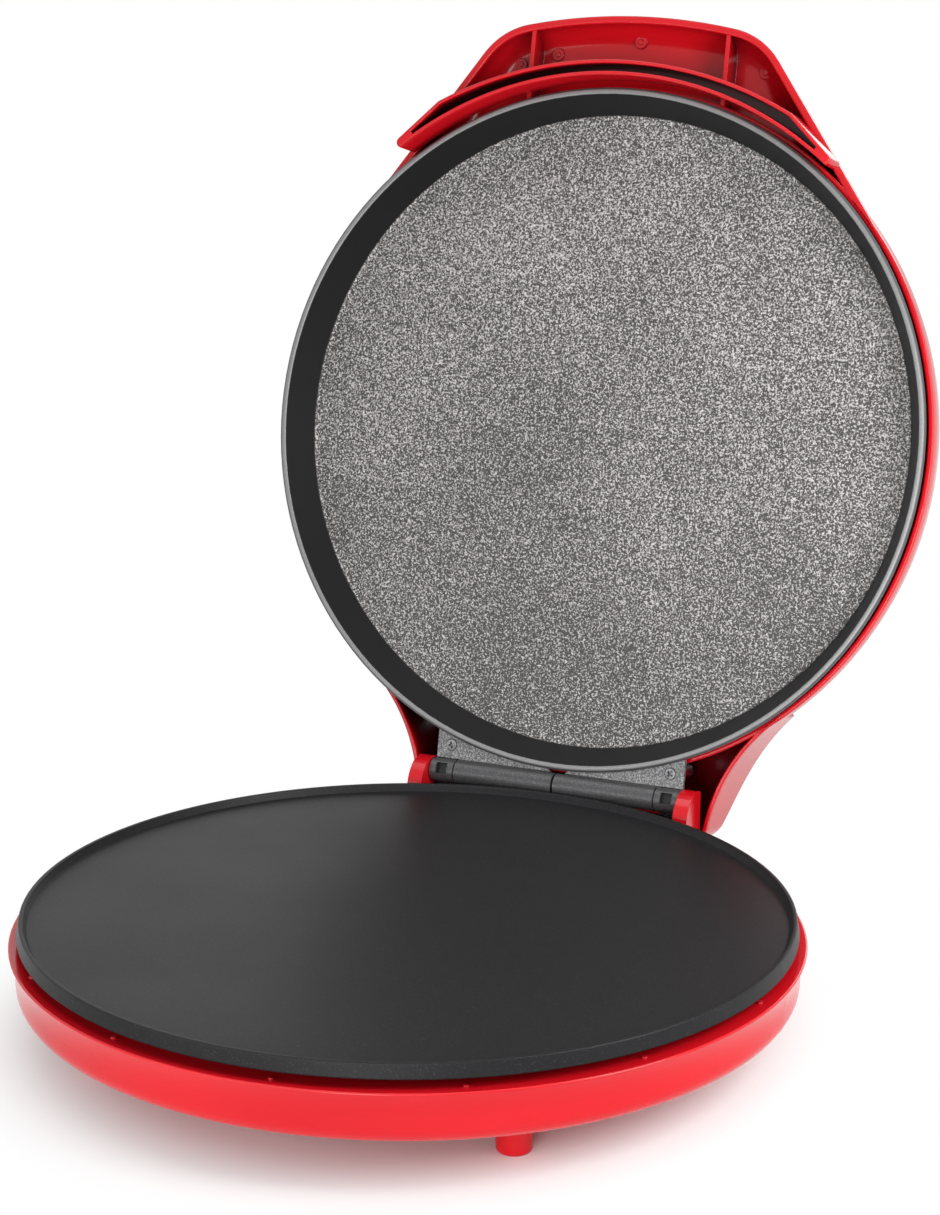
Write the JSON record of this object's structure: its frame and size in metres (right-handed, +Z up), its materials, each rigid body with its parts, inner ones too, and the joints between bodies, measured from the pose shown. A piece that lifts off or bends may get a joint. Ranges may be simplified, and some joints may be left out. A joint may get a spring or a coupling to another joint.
{
  "type": "electric pizza maker",
  "caption": "Round electric pizza maker: a gloss red base with a shallow dark pan, and a hinged lid with a deeper grey pan, a hollow handle and a visor, standing open.",
  "frame": {"origin": "on the table, on the axis of the lower pan", "axes": "+Z up; -Y towards the user, where the lid's handle closes; +X to the user's right; the hinge lies at +Y"},
  "size_m": [0.3286, 0.4406, 0.4045],
  "materials": {
    "red_plastic": "polished",
    "lower_pan_coating": "smooth dark non-stick coating",
    "lid_pan_coating": "grained grey non-stick coating",
    "hinge_steel": "textured dark grey",
    "screw_steel": "plain",
    "sheet_aluminium": "mill finish",
    "element_sheath": "dull",
    "pale_plastic": "matte",
    "black_rubber": "matte"
  },
  "bodies": {
    "base": {"base_housing": "red_plastic", "base_cover": "red_plastic", "feet": "red_plastic", "cover_screws": "screw_steel", "lower_pan": "lower_pan_coating", "lower_reflector": "sheet_aluminium", "lower_reflector_screws": "screw_steel", "lower_pan_screws": "screw_steel", "lower_element": "element_sheath", "lower_straps": "sheet_aluminium", "lower_strap_screws": "screw_steel", "thermostat": "pale_plastic", "terminal_block": "pale_plastic", "cord_gland": "black_rubber", "hinge_base_leaf": "hinge_steel", "base_leaf_screws": "screw_steel", "hinge_pin": "screw_steel"},
    "lid": {"lid_housing": "red_plastic", "lid_visor": "red_plastic", "upper_pan": "lid_pan_coating", "upper_reflector": "sheet_aluminium", "upper_reflector_screws": "screw_steel", "upper_pan_screws": "screw_steel", "upper_element": "element_sheath", "upper_straps": "sheet_aluminium", "upper_strap_screws": "screw_steel", "hinge_lid_leaf": "hinge_steel", "lid_leaf_screws": "screw_steel"}
  },
  "joints": [
    {"name": "lid_hinge", "type": "hinge", "parent": "base", "child": "lid", "pos_m": [0, 0.1668, 0.0534], "axis": [1, 0, 0], "range_deg": [0, 102.27]}
  ]
}
